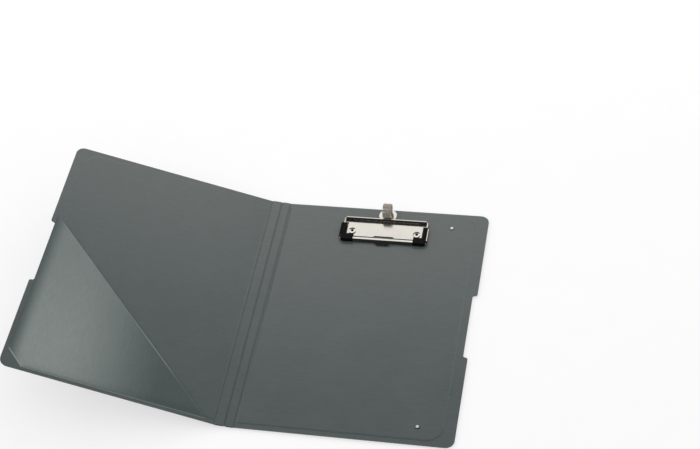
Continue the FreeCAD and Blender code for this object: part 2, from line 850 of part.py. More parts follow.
# The pen loop's base: a round plate cut straight behind the barrel and at the board's edge.
base = new_body("pen_loop_base")
base_sheet = dim("loop_base_sheet")
disc = new_sketch(base, "disc")
ring(disc, ZERO, ZERO, dim("loop_base_radius"))
pad(base, disc, base_sheet)
dress(base, "Chamfer", field_edges(base.Shape, base_sheet.value), dim("loop_base_bevel"))
sides = new_sketch(base, "sides")
side_far = dim("loop_base_radius") + dim("cut_overrun")
rear_flat = dim("loop_below_top") - dim("loop_edge_room")
front_flat = dim("loop_below_top") - dim("clip_below_top") + barrel + dim("loop_edge_room")
draw(sides, [(-side_far, rear_flat), (side_far, rear_flat), (side_far, side_far), (-side_far, side_far)])
side_corners = [(-side_far, -side_far), (side_far, -side_far)]
side_corners += [(side_far, front_flat), (-side_far, front_flat)]
draw(sides, side_corners)
pocket(base, sides, base_sheet, True)
base_hole = new_sketch(base, "hole")
ring(base_hole, ZERO, ZERO, loop_hole)
pocket(base, base_hole, base_sheet, True)
place(base, BACK, clip_x, loop_y, field_rise)

# The pen loop's spring: one flat-wound wire, led round a ring about X. Straight runs cross the band
# outside and inside, and each half turn at the band's edges is one arc.
wire = dim("coil_wire_radius").value
outer_run = dim("loop_radius").value - wire
inner_run = outer_run - dim("coil_rise").value
step = math.radians(COIL_STEP)
turn_radius = math.hypot(outer_run - inner_run * math.cos(step / 2), inner_run * math.sin(step / 2)) / 2
run_half = dim("band_width").value / 2 - wire - turn_radius
first_angle = math.pi * 1.5 - COIL_TURNS * step / 2 - math.pi


def on_ring(x, radius, angle):
    return FreeCAD.Vector(x, radius * math.cos(angle), radius * math.sin(angle))


def half_turn(start, end, outward):
    """A half turn from one run to the next, bulging along X."""
    middle = (start + end) * 0.5
    peak = middle + FreeCAD.Vector(outward * (end - start).Length / 2, 0, 0)
    return [Part.Arc(start, peak, end).toShape()]


edges = []
points = []
for turn in range(COIL_TURNS):
    angle = first_angle + turn * step
    left_out = on_ring(-run_half, outer_run, angle)
    right_out = on_ring(run_half, outer_run, angle)
    right_in = on_ring(run_half, inner_run, angle + step / 2)
    left_in = on_ring(-run_half, inner_run, angle + step / 2)
    edges.append(Part.makeLine(left_out, right_out))
    edges += half_turn(right_out, right_in, 1)
    edges.append(Part.makeLine(right_in, left_in))
    if turn < COIL_TURNS - 1:
        next_out = on_ring(-run_half, outer_run, angle + step)
        edges += half_turn(left_in, next_out, -1)
coil_path = Part.Wire(edges)
section_points = []
for corner in range(4):
    spin = corner * math.pi / 2
    away = FreeCAD.Vector(0, wire * math.cos(spin), wire * math.sin(spin))
    section_points.append(on_ring(-run_half, outer_run, first_angle) + away)
section_points.append(section_points[0])
shell = Part.BRepOffsetAPI.MakePipeShell(coil_path)
shell.add(Part.makePolygon(section_points))
shell.build()
shell.makeSolid()
coil = doc.addObject("Part::Feature", "pen_loop_spring")
coil.Label = "pen_loop_spring"
coil.Shape = shell.shape()
samples = []
for index, edge in enumerate(edges):
    for spot in edge.discretize(9)[:-1]:
        samples.append((len(samples), spot))
least = None
own_reach = 20
for index, spot in samples:
    for other, far in samples[index + own_reach:]:
        between = spot.distanceToPoint(far) - wire - wire
        if least is None or between < least:
            least = between
print("pen loop spring: %d turns, least gap to itself %.3f mm" % (COIL_TURNS, least))
end_angle = Size(COIL_TURNS * COIL_STEP / 2, repr(COIL_TURNS * COIL_STEP / 2))
loop_drop = -dim("loop_radius").along(end_angle)
loop_z = field_rise + base_sheet + loop_drop + dim("fit_clearance")
place(coil, BACK, clip_x, loop_y, loop_z)

# A saddle inside the loop holds its end turns down on the base, and one rivet holds the saddle.
saddle = new_body("pen_loop_saddle")
saddle_half = dim("saddle_length") / 2
saddle_side = dim("saddle_width") / 2
inner_end = Size((COIL_TURNS - 1) * COIL_STEP / 2, repr((COIL_TURNS - 1) * COIL_STEP / 2))
inner_radius = dim("loop_radius") - dim("coil_rise") - dim("coil_wire_radius")
saddle_low = inner_radius.along(inner_end) + dim("coil_wire_radius") + dim("fit_clearance")
saddle_plate = new_sketch(saddle, "plate", level=saddle_low)
draw(saddle_plate, [
    (-saddle_half, -saddle_side),
    (saddle_half, -saddle_side),
    (saddle_half, saddle_side),
    (-saddle_half, saddle_side),
])
pad(saddle, saddle_plate, dim("saddle_sheet"))
saddle_hole = new_sketch(saddle, "hole", level=saddle_low)
ring(saddle_hole, ZERO, ZERO, loop_hole)
pocket(saddle, saddle_hole, dim("saddle_sheet"), True)
place(saddle, BACK, clip_x, loop_y, loop_z)

loop_rivet = new_body("pen_loop_rivet")
profile = new_sketch(loop_rivet, "profile", "XZ_Plane")
head_low = saddle_low + dim("saddle_sheet")
head_top = head_low + dim("loop_head_height")
shank = dim("loop_shank_radius")
loop_foot_top = foot_top + field_rise - loop_z
loop_foot_low = foot_low + field_rise - loop_z
draw(profile, [
    (ZERO, loop_foot_low),
    (dim("loop_foot_radius"), loop_foot_low),
    (dim("loop_foot_radius"), loop_foot_top),
    (shank, loop_foot_top),
    (shank, head_low),
    (dim("loop_head_radius"), head_low),
    (dim("loop_head_radius") - dim("loop_head_height"), head_top),
    (ZERO, head_top),
])
revolve(loop_rivet, profile)
place(loop_rivet, BACK, clip_x, loop_y, loop_z)

# Two eyelets right through the back cover lead the elastic in from the outside.
eyelets = new_body("elastic_eyelets")
eyelet_section = new_sketch(eyelets, "section", "XZ_Plane")
eyelet_bore = dim("eyelet_bore_radius")
rim_radius = dim("eyelet_rim_radius")
rim_height = dim("eyelet_rim_height")
foot_height = dim("eyelet_foot_height")
draw(eyelet_section, [
    (eyelet_bore, -field_rise - foot_height),
    (rim_radius, -field_rise - foot_height),
    (rim_radius, -field_rise),
    (eyelet_radius, -field_rise),
    (eyelet_radius, field_rise),
    (rim_radius, field_rise),
    (rim_radius - rim_height, field_rise + rim_height),
    (eyelet_bore, field_rise + rim_height),
])
eyelet_turned = revolve(eyelets, eyelet_section)
repeat(eyelets, eyelet_turned, "Y_Axis", eyelet_y + eyelet_y)
place(eyelets, BACK, eyelet_x, -eyelet_y)

# The elastic lies taut along the back, from one eyelet to the other, and its ends pass inside.
elastic = new_body("elastic_band")
elastic_top = -field_rise - foot_height
elastic_half = dim("elastic_width") / 2
band = new_sketch(elastic, "band", level=elastic_top)
draw(band, [
    (-elastic_half, -eyelet_y),
    (ZERO, -eyelet_y - elastic_half, ZERO, -eyelet_y, elastic_half, 1),
    (elastic_half, -eyelet_y, ZERO, -eyelet_y, elastic_half, 1),
    (elastic_half, eyelet_y),
    (ZERO, eyelet_y + elastic_half, ZERO, eyelet_y, elastic_half, 1),
    (-elastic_half, eyelet_y, ZERO, eyelet_y, elastic_half, 1),
])
pad(elastic, band, dim("elastic_sheet"), True)
band_edges = [name for name in field_edges(elastic.Shape, (elastic_top - dim("elastic_sheet")).value)]
dress(elastic, "Chamfer", band_edges, dim("elastic_bevel"))
necks = new_sketch(elastic, "necks", level=elastic_top)
ring(necks, ZERO, -eyelet_y, dim("elastic_neck_radius"))
ring(necks, ZERO, eyelet_y, dim("elastic_neck_radius"))
neck_length = foot_height + field_rise + field_rise + rim_height
pad(elastic, necks, neck_length)
place(elastic, BACK, eyelet_x)

stops = new_body("elastic_stops")
dome = new_sketch(stops, "dome", "XZ_Plane")
stop_radius = dim("stop_radius")
stop_low = field_rise + rim_height
stop_edge = stop_radius - dim("stop_height")
draw(dome, [
    (ZERO, stop_low),
    (stop_radius, stop_low),
    (stop_edge, stop_low + dim("stop_height")),
    (ZERO, stop_low + dim("stop_height")),
])
dome_turned = revolve(stops, dome)
repeat(stops, dome_turned, "Y_Axis", eyelet_y + eyelet_y)
place(stops, BACK, eyelet_x, -eyelet_y)

# The corner pocket: a sheet on two low walls and a cut corner, welded to the rim and open on its slope.
pocket_body = new_body("corner_pocket")
inset = dim("pocket_inset")
pocket_left = inset - front_width
pocket_low = inset - half_height
pocket_high = pocket_low + dim("pocket_rise")
pocket_right = -dim("pocket_end_room")
cut_width = dim("pocket_cut_width")
cut_height = dim("pocket_cut_height")
pocket_top = field_rise + dim("pocket_gap") + dim("pocket_sheet")
pocket_left_shape = dim("notch_depth") + dim("fit_clearance") - front_width
sheet_outline = new_sketch(pocket_body, "sheet", level=dim("foil_sheet"))
draw(sheet_outline, [
    (pocket_left + cut_width, pocket_low),
    (pocket_right, pocket_low),
    (pocket_left_shape, pocket_high),
    (pocket_left_shape, pocket_low + cut_height),
])
pad(pocket_body, sheet_outline, pocket_top - dim("foil_sheet"))
hollow = new_sketch(pocket_body, "hollow", level=dim("foil_sheet"))
wall = dim("pocket_wall")
overrun = dim("cut_overrun")
draw(hollow, [
    (pocket_left + cut_width + wall / 2, pocket_low + wall),
    (pocket_right + overrun + overrun, pocket_low + wall),
    (pocket_right + overrun + overrun, pocket_high + overrun),
    (pocket_left_shape + wall, pocket_high + overrun),
    (pocket_left_shape + wall, pocket_low + cut_height + wall / 2),
])
pocket(pocket_body, hollow, pocket_top - dim("foil_sheet") - dim("pocket_sheet"), True)


def pocket_edge(edge, box):
    """The sheet's top edges along its walls and cut corner, but not its open slope."""
    if box.ZLength > SAME_SPOT or abs(box.ZMin - pocket_top.value) > SAME_SPOT:
        return False
    return box.YLength < SAME_SPOT or box.XLength < SAME_SPOT or box.XLength < 2 * cut_width.value


dress(pocket_body, "Fillet", edges_where(pocket_body.Shape, pocket_edge), dim("pocket_round"))
place(pocket_body, FRONT)

doc.recompute()
for item in doc.Objects:
    if "Invalid" in item.State or "Error" in item.State:
        raise RuntimeError("%s failed: %s" % (item.Name, item.State))
total = 0
for label, thing in BODIES.items():
    if thing.Shape.isNull() or not thing.Shape.isValid():
        raise RuntimeError("%s has no valid shape" % label)
    total += 1
for label, thing in BODIES.items():
    thing.Shape.exportStep("parts/%s.step" % label)
    print("%-26s solids %d volume %.2f" % (label, len(thing.Shape.Solids), thing.Shape.Volume))
print("%d nodes" % total)
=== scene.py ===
import math

import bmesh
import bpy
from mathutils import Matrix, Vector


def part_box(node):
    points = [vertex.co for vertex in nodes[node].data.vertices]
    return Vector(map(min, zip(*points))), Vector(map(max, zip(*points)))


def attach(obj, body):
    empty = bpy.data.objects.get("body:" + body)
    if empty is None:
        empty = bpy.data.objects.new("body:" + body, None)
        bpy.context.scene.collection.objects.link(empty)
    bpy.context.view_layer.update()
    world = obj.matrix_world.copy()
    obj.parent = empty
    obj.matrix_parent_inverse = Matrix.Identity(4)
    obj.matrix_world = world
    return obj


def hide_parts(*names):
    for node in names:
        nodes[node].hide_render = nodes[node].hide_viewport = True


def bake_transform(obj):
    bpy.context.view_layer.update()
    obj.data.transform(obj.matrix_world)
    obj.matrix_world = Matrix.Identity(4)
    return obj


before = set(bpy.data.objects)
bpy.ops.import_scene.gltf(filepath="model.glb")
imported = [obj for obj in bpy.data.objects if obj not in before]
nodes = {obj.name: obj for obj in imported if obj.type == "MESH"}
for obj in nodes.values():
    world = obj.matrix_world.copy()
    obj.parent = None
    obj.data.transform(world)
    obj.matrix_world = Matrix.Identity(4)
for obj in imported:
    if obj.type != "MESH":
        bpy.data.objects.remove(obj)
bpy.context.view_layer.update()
MM = 0.001

# The folder's places in the row frame, in millimetres. The weld plane is the middle of a cover's thickness.
BACK_X = 7.0104
WELD_Z = 2.35
HALF_THICK = 1.0
COVER_TOP, COVER_UNDER = WELD_Z + HALF_THICK, WELD_Z - HALF_THICK
ANGLES = {"back": 0.0, "strip_back": 6.5, "strip_front": 7.0, "front": 18.0}
STRIP_BACK, STRIP_FRONT = 10.0, 11.5
HALF_HEIGHT = 159.0


def turned(x, z, angle):
    a = math.radians(angle)
    return x * math.cos(a) + z * math.sin(a), z * math.cos(a) - x * math.sin(a)


CREASES = [(BACK_X, WELD_Z)]
for width, panel in ((STRIP_BACK, "strip_back"), (STRIP_FRONT, "strip_front")):
    dx, dz = turned(-width, 0.0, ANGLES[panel])
    CREASES.append((CREASES[-1][0] + dx, CREASES[-1][1] + dz))
FRONT_X, FRONT_Z = CREASES[2]


def on_front(x, y, z):
    """A point of the front cover: x from its crease, z from the weld plane."""
    dx, dz = turned(x, z, ANGLES["front"])
    return Vector((FRONT_X + dx, y, FRONT_Z + dz)) * MM


# The corner pocket's outline on the front cover.
POCKET_LEFT, POCKET_LOW, POCKET_RIGHT, POCKET_HIGH = -228.9, -155.2, -10.0, 52.8
POCKET_CUT_X, POCKET_CUT_Y = -210.2, -136.7


def pocket_spot(x, y):
    return FRONT_X + turned(x, 0.0, ANGLES["front"])[0], y


# The pocket's cut and welded edges seen from above, each with a painted highlight: both ends, how wide it is
# and how strong.
POCKET_MOUTH = (pocket_spot(POCKET_RIGHT, POCKET_LOW), pocket_spot(POCKET_LEFT, POCKET_HIGH), 0.95, 0.1)
POCKET_CUT = (pocket_spot(POCKET_CUT_X, POCKET_LOW), pocket_spot(POCKET_LEFT, POCKET_CUT_Y), 1.7, 0.9)
POCKET_WELD = (pocket_spot(POCKET_LEFT, POCKET_LOW), pocket_spot(POCKET_RIGHT, POCKET_LOW), 0.95, 0.6)
EDGE_CORE = 0.26
# The stretch of the mouth's edge whose painted highlight is strongest, along X: where it begins, where it
# ends and by how much.
MOUTH_BEGINS, MOUTH_ENDS, MOUTH_HIGHLIGHT_GAIN = (-130.0, -100.0), (-56.0, -76.0), 4.0
# Where the pocket's tone goes from dark to pale. From the fore edge and the bottom edge it is partly the
# milky foil lifting off the cover and partly painted shade on its slopes. From the spine's side it is
# painted shade only.
FORE_LIFT_AND_SHADE, LOW_LIFT_AND_SHADE, SPINE_SHADE = (-234.0, -214.0), (-157.0, -151.0), (-65.0, -190.0)
# Painted light: the pocket is made paler toward the bottom edge.
PAINTED_LIGHT_LOW, PAINTED_LIGHT_LOW_SHARE, PAINTED_LIGHT_LOW_BASE = (30.0, -130.0), 0.32, 0.68
# The two lines printed outside on the front cover.
LINE_PLACE, LINE_HALF = 17.8, 0.45


def srgb(hexa):
    out = []
    for i in (0, 2, 4):
        c = int(hexa[i:i + 2], 16) / 255.0
        out.append(c / 12.92 if c <= 0.04045 else ((c + 0.055) / 1.055) ** 2.4)
    return (*out, 1.0)


def grey(level):
    return (level, level, level, 1.0)


def scaled(color, share):
    return (*(min(1.0, c * share) for c in color[:3]), 1.0)


# Materials


class Nodes:
    """A material's node tree, with short ways to add and join nodes."""

    def __init__(self, name):
        self.mat = bpy.data.materials.new(name)
        self.mat.use_nodes = True
        self.tree = self.mat.node_tree
        self.shader = self.tree.nodes["Principled BSDF"]
        self.coord = self.add("ShaderNodeTexCoord").outputs["Object"]

    def add(self, kind, **settings):
        node = self.tree.nodes.new(kind)
        for key, value in settings.items():
            setattr(node, key, value)
        return node

    def join(self, out, into):
        self.tree.links.new(out, into)

    def noise(self, scale, detail=3.0, stretch=(1, 1, 1)):
        place = self.add("ShaderNodeMapping")
        place.inputs["Scale"].default_value = stretch
        self.join(self.coord, place.inputs["Vector"])
        tex = self.add("ShaderNodeTexNoise")
        tex.inputs["Scale"].default_value = scale
        tex.inputs["Detail"].default_value = detail
        tex.inputs["Roughness"].default_value = 0.55
        self.join(place.outputs["Vector"], tex.inputs["Vector"])
        return tex.outputs["Fac"]

    def math(self, kind, a, b=None):
        node = self.add("ShaderNodeMath", operation=kind)
        for socket, value in zip(node.inputs, (a, b)):
            if value is None:
                continue
            if isinstance(value, (int, float)):
                socket.default_value = value
            else:
                self.join(value, socket)
        return node.outputs[0]

    def weighted(self, a, share_a, b, share_b):
        return self.math("ADD", self.math("MULTIPLY", a, share_a), self.math("MULTIPLY", b, share_b))

    def ramp(self, fac, stops):
        node = self.add("ShaderNodeValToRGB")
        while len(node.color_ramp.elements) < len(stops):
            node.color_ramp.elements.new(0.5)
        for element, (at, color) in zip(node.color_ramp.elements, stops):
            element.position = at
            element.color = color
        self.join(fac, node.inputs["Fac"])
        return node.outputs["Color"]

    def spread(self, fac, low, high):
        """A noise, which keeps near its middle, spread from low to high."""
        node = self.add("ShaderNodeMapRange")
        node.inputs["From Min"].default_value = 0.3
        node.inputs["From Max"].default_value = 0.7
        node.inputs["To Min"].default_value = low
        node.inputs["To Max"].default_value = high
        self.join(fac, node.inputs["Value"])
        return node.outputs["Result"]

    def mix(self, fac, a, b, kind="MIX"):
        node = self.add("ShaderNodeMix", data_type="RGBA", blend_type=kind)
        for socket, value in ((node.inputs[0], fac), (node.inputs[6], a), (node.inputs[7], b)):
            if isinstance(value, (int, float, tuple)):
                socket.default_value = value
            else:
                self.join(value, socket)
        return node.outputs[2]

    def bump(self, height, strength, distance):
        node = self.add("ShaderNodeBump")
        node.inputs["Strength"].default_value = strength
        node.inputs["Distance"].default_value = distance
        self.join(height, node.inputs["Height"])
        self.join(node.outputs["Normal"], self.shader.inputs["Normal"])

    def set(self, **values):
        for key, value in values.items():
            self.shader.inputs[key.replace("_", " ")].default_value = value


def foil(name, color, grain=0.12, rough=(0.42, 0.58), gloss=0.4, lines=False, crease_shade=False):
    """Foil pressed with a fine linen grain: threads both ways, patches of tone and worn shine, and on
    request painted shade down the middle of a crease.
    """
    n = Nodes(name)
    warp = n.noise(1.0, 2.0, (900, 90, 900))
    weft = n.noise(1.0, 2.0, (70, 900, 70))
    threads = n.weighted(warp, 0.28, weft, 0.72)
    patches = n.noise(14.0, 4.0)
    tone = n.ramp(threads, [(0.34, scaled(color, 1.0 - grain)), (0.66, scaled(color, 1.0 + grain))])
    shade = n.ramp(patches, [(0.3, grey(0.93)), (0.7, grey(1.0))])
    tone = n.mix(1.0, tone, shade, "MULTIPLY")
    if lines:
        split = n.add("ShaderNodeSeparateXYZ")
        n.join(n.coord, split.inputs[0])
        away = n.math("SUBTRACT", n.math("ABSOLUTE", split.outputs["Y"]), LINE_PLACE * MM)
        printed = n.math("LESS_THAN", n.math("ABSOLUTE", away), LINE_HALF * MM)
        ink = n.ramp(n.noise(900.0, 2.0), [(0.3, srgb("6d7b76")), (0.7, srgb("87938e"))])
        tone = n.mix(printed, tone, ink)
    if crease_shade:
        # Painted shade: darker down the middle of the crease, where the groove lies in shade.
        split = n.add("ShaderNodeSeparateXYZ")
        n.join(n.tree.nodes["Texture Coordinate"].outputs["Generated"], split.inputs[0])
        away = n.math("ABSOLUTE", n.math("SUBTRACT", split.outputs["X"], 0.5))
        painted_crease_shade = n.ramp(away, [(0.14, grey(0.55)), (0.3, grey(1.0))])
        tone = n.mix(1.0, tone, painted_crease_shade, "MULTIPLY")
    n.join(tone, n.shader.inputs["Base Color"])
    n.join(n.spread(patches, *rough), n.shader.inputs["Roughness"])
    n.bump(threads, 0.35, 0.06 * MM)
    n.set(Specular_IOR_Level=gloss)
    return n.mat


def pocket_foil(name, welded_and_shaded_color, high_color, edge_highlight_color):
    """A thin milky foil, darker where it lies on the cover at its welds and paler where it lifts, with
    painted shade on its slopes and toward the spine, painted light toward the bottom and painted highlights
    along its edges.
    """
    n = Nodes(name)
    split = n.add("ShaderNodeSeparateXYZ")
    n.join(n.coord, split.inputs[0])
    along_x, along_y = split.outputs["X"], split.outputs["Y"]

    def ease(value, start, end):
        node = n.add("ShaderNodeMapRange", interpolation_type="SMOOTHSTEP")
        n.join(value, node.inputs["Value"])
        node.inputs["From Min"].default_value = start * MM
        node.inputs["From Max"].default_value = end * MM
        return node.outputs["Result"]

    # Painted shade: the tone darkens toward the fore and bottom welds and toward the spine.
    lift_and_shade = n.math("MULTIPLY", ease(along_x, *FORE_LIFT_AND_SHADE), ease(along_y, *LOW_LIFT_AND_SHADE))
    lift_and_shade = n.math("MULTIPLY", lift_and_shade, ease(along_x, *SPINE_SHADE))
    # Painted light: the pocket pales toward the bottom edge.
    painted_light_low = n.math("MULTIPLY", ease(along_y, *PAINTED_LIGHT_LOW), PAINTED_LIGHT_LOW_SHARE)
    lift_and_shade = n.math("MULTIPLY", lift_and_shade, n.math("ADD", painted_light_low, PAINTED_LIGHT_LOW_BASE))
    warp = n.noise(1.0, 2.0, (900, 90, 900))
    weft = n.noise(1.0, 2.0, (110, 1000, 110))
    threads = n.weighted(warp, 0.7, weft, 0.3)
    grain = n.ramp(threads, [(0.34, grey(0.93)), (0.66, grey(1.07))])
    waves = n.noise(11.0, 2.0)
    lift_and_shade = n.math("ADD", lift_and_shade, n.math("MULTIPLY", n.math("SUBTRACT", waves, 0.5), 0.12))
    tone = n.ramp(lift_and_shade, [(0.0, welded_and_shaded_color), (1.0, high_color)])
    # Painted highlights: pale lines along the mouth, the cut corner and the bottom weld.
    edge = None
    for start, end, width, strength in (POCKET_MOUTH, POCKET_CUT, POCKET_WELD):
        way = Vector((end[1] - start[1], start[0] - end[0])).normalized()
        apart = n.weighted(along_x, way.x, along_y, way.y)
        apart = n.math("SUBTRACT", apart, way.dot(Vector(start)) * MM)
        near = n.math("MULTIPLY", ease(n.math("ABSOLUTE", apart), width, EDGE_CORE * width), strength)
        if edge is None:
            lit = n.math("MULTIPLY", ease(along_x, *MOUTH_BEGINS), ease(along_x, *MOUTH_ENDS))
            edge = n.math("MULTIPLY", near, n.math("ADD", n.math("MULTIPLY", lit, MOUTH_HIGHLIGHT_GAIN), 1.0))
        else:
            edge = n.math("MAXIMUM", edge, near)
    tone = n.mix(edge, tone, edge_highlight_color)
    n.join(n.mix(1.0, tone, grain, "MULTIPLY"), n.shader.inputs["Base Color"])
    n.join(n.spread(waves, 0.36, 0.5), n.shader.inputs["Roughness"])
    n.bump(threads, 0.3, 0.05 * MM)
    n.set(Specular_IOR_Level=0.25)
    return n.mat


def nickel(name, color, rough=(0.05, 0.1), brushed=(1, 1, 1), strength=0.02, metallic=1.0):
    """Bright plate with a faint haze and hairline scratches."""
    n = Nodes(name)
    haze = n.noise(60.0, 4.0)
    hair = n.noise(1.0, 2.0, tuple(900.0 * s for s in brushed))
    tone = n.ramp(haze, [(0.3, scaled(color, 0.94)), (0.7, scaled(color, 1.03))])
    n.join(tone, n.shader.inputs["Base Color"])
    n.join(n.spread(n.weighted(haze, 0.6, hair, 0.4), *rough), n.shader.inputs["Roughness"])
    n.bump(hair, strength, 0.02 * MM)
    n.set(Metallic=metallic)
    return n.mat


def rubber(name):
    """Matt black rubber with a fine skin."""
    n = Nodes(name)
    skin = n.noise(1400.0, 3.0)
    wear = n.noise(90.0, 4.0)
    n.join(n.ramp(wear, [(0.35, srgb("080909")), (0.7, srgb("111313"))]), n.shader.inputs["Base Color"])
    n.join(n.spread(wear, 0.5, 0.65), n.shader.inputs["Roughness"])
    n.set(Specular_IOR_Level=0.15)
    n.bump(skin, 0.25, 0.05 * MM)
    return n.mat


def board(name):
    """Grey board with fibres."""
    n = Nodes(name)
    fibre = n.noise(1.0, 5.0, (420, 260, 420))
    n.join(n.ramp(fibre, [(0.3, srgb("8a847a")), (0.7, srgb("a8a296"))]), n.shader.inputs["Base Color"])
    n.join(n.spread(fibre, 0.8, 0.95), n.shader.inputs["Roughness"])
    n.bump(fibre, 0.4, 0.1 * MM)
    return n.mat


def woven(name):
    """Flat elastic: ribs along its length, crossed by fine threads."""
    n = Nodes(name)
    rib = n.add("ShaderNodeTexWave", wave_type="BANDS", bands_direction="X")
    rib.inputs["Scale"].default_value = 380.0
    n.join(n.coord, rib.inputs["Vector"])
    thread = n.add("ShaderNodeTexWave", wave_type="BANDS", bands_direction="Y")
    thread.inputs["Scale"].default_value = 420.0
    thread.inputs["Distortion"].default_value = 1.2
    n.join(n.coord, thread.inputs["Vector"])
    crossed = n.math("ADD", n.math("MULTIPLY", thread.outputs["Fac"], 0.6), 0.4)
    weave = n.math("MULTIPLY", rib.outputs["Fac"], crossed)
    fuzz = n.noise(700.0, 3.0)
    tone = n.ramp(weave, [(0.05, srgb("3f4a46")), (0.8, srgb("65726d"))])
    n.join(n.mix(n.spread(fuzz, 0.0, 0.35), tone, srgb("525e5a")), n.shader.inputs["Base Color"])
    n.set(Roughness=0.85, Sheen_Weight=0.25)
    n.bump(weave, 0.6, 0.15 * MM)
    return n.mat


INSIDE, OUTSIDE = srgb("505a59"), srgb("132421")
MATERIALS = {
    "inner": foil("foil_inside", INSIDE, 0.1, (0.27, 0.33), 1.0),
    "outer": foil("foil_outside", OUTSIDE, 0.16, gloss=0.12),
    "front": foil("foil_front", OUTSIDE, 0.16, gloss=0.12, lines=True),
    "pocket": pocket_foil("foil_pocket", srgb("4b5655"), srgb("828a88"), srgb("8f9a98")),
    "crease": foil("foil_crease", srgb("5a6463"), 0.08, (0.3, 0.36), 0.8, crease_shade=True),
    "crease_out": foil("foil_crease_outside", srgb("101c19"), 0.1, gloss=0.12),
    "core": board("grey_board"),
    "plate": nickel("nickel_plate", srgb("e6e4de"), (0.17, 0.23)),
    "polish": nickel("nickel_polish", srgb("e6e3dc"), (0.04, 0.09)),
    "eyelet": nickel("eyelet_nickel", srgb("8a8886"), (0.12, 0.2)),
    "wire": nickel("nickel_wire", srgb("dcdad5"), (0.08, 0.14), (1, 0.2, 1)),
    "spring": nickel("spring_wire", srgb("d4cdc2"), (0.28, 0.4), (1, 1, 1), 0.08, 0.45),
    "stop": nickel("stop_metal", srgb("f0eee8"), (0.2, 0.3), (1, 1, 1), 0.04, 0.3),
    "rubber": rubber("cap_rubber"),
    "elastic": woven("elastic_weave"),
}
USE = {
    "back_outer_foil": "outer", "back_core_board": "core", "back_inner_foil": "inner",
    "front_outer_foil": "front", "front_core_board": "core", "front_inner_foil": "inner",
    "spine_back_outer_foil": "outer", "spine_back_core_strip": "core", "spine_back_inner_foil": "inner",
    "spine_front_outer_foil": "outer", "spine_front_core_strip": "core", "spine_front_inner_foil": "inner",
    "clip_base_plate": "plate", "clip_rivets": "polish", "clip_wire_bail": "wire", "clip_jaw": "polish",
    "clip_cap_left": "rubber", "clip_cap_right": "rubber",
    "pen_loop_base": "polish", "pen_loop_spring": "spring",
    "pen_loop_saddle": "polish", "pen_loop_rivet": "polish",
    "elastic_eyelets": "eyelet", "elastic_band": "elastic", "elastic_stops": "stop",
    "corner_pocket": "pocket",
}
for name, key in USE.items():
    mesh = nodes[name].data
    mesh.materials.clear()
    mesh.materials.append(MATERIALS[key])


def soft_edges(name, width):
    """Breaks a rigid node's sharp edges, so that they catch the light."""
    edge = nodes[name].modifiers.new("edges", "BEVEL")
    edge.width = width * MM
    edge.segments = 2
    edge.limit_method = "ANGLE"
    edge.angle_limit = math.radians(40)
    edge.harden_normals = True


for name in ("clip_cap_left", "clip_cap_right"):
    soft_edges(name, 0.3)


def piece(name, mesh, key, body=None):
    """Puts a mesh into the scene with its material and slot, riding on a body if one is given."""
    made = bpy.data.objects.new(name, mesh)
    bpy.context.scene.collection.objects.link(made)
    mesh.materials.append(MATERIALS[key])
    for face in mesh.polygons:
        face.use_smooth = True
    if body:
        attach(made, body)
    return made


SHARP_ANGLE = math.radians(35)


def settle(bm, mesh):
    """Turns the faces outward, keeps real edges sharp and writes the mesh."""
    bmesh.ops.recalc_face_normals(bm, faces=bm.faces)
    for edge in bm.edges:
        edge.smooth = edge.calc_face_angle(0.0) < SHARP_ANGLE
    bm.to_mesh(mesh)
    bm.free()


def closed_sheet(bm, tops, unders):
    """Two grids of the same shape, joined all round into one closed sheet."""
    for grid, flip in ((tops, False), (unders, True)):
        for a, b in zip(grid, grid[1:]):
            for i in range(len(a) - 1):
                quad = (a[i], a[i + 1], b[i + 1], b[i])
                bm.faces.new(quad[::-1] if flip else quad)
    last, far = len(tops) - 1, len(tops[0]) - 1
    rim = [(0, i) for i in range(far + 1)] + [(j, far) for j in range(1, last + 1)]
    rim += [(last, i) for i in range(far - 1, -1, -1)] + [(j, 0) for j in range(last - 1, 0, -1)]
    for (j, i), (n, m) in zip(rim, rim[1:] + rim[:1]):
        bm.faces.new((tops[j][i], unders[j][i], unders[n][m], tops[n][m]))


# The foil bends in one piece across each crease: a thin skin inside and outside, in the groove.
SKIN_THICK = 0.1
GROOVE_HALF, GROOVE_DEPTH, GROOVE_CROWN, GROOVE_END = 1.02, 0.47, 0.03, 0.1


def crease_skin(name, index, side, angles, key):
    x0, z0 = CREASES[index]
    mesh = bpy.data.meshes.new(name)
    bm = bmesh.new()
    steps, runs = 8, 20
    length = 2 * HALF_HEIGHT - 2 * GROOVE_END
    grids = []
    for depth in (0.0, SKIN_THICK):
        rows = []
        for j in range(runs + 1):
            y = -HALF_HEIGHT + GROOVE_END + length * j / runs
            row = []
            for i in range(steps + 1):
                x = GROOVE_HALF - 2 * GROOVE_HALF * i / steps
                angle = angles[0] if x > 0 else angles[1]
                z = side * (GROOVE_DEPTH - depth + GROOVE_CROWN * math.cos(math.pi * x / GROOVE_HALF))
                dx, dz = turned(x, z, angle)
                row.append(bm.verts.new(Vector((x0 + dx, y, z0 + dz)) * MM))
            rows.append(row)
        grids.append(rows)
    closed_sheet(bm, *grids)
    settle(bm, mesh)
    made = piece(name, mesh, key)
    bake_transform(made)


BODY_PAIRS = [("back_cover", "spine_back"), ("spine_back", "spine_front"), ("spine_front", "front_cover")]
LEANS = list(ANGLES.values())
for index, (bodies, angles) in enumerate(zip(BODY_PAIRS, zip(LEANS, LEANS[1:]))):
    crease_skin("crease_skin_inside_%d" % index, index, 1, angles, "crease")
    crease_skin("crease_skin_outside_%d" % index, index, -1, angles, "crease_out")


# The pen loop's spring in fine round wire, on the same ring as the solid and with twice its turns.
LOOP_BELOW_TOP, LOOP_BASE_SHEET = 9.6, 0.8
LOOP_RADIUS, LOOP_FIRST_TURN, LOOP_ROOM = 8.4, 158.4, 0.05


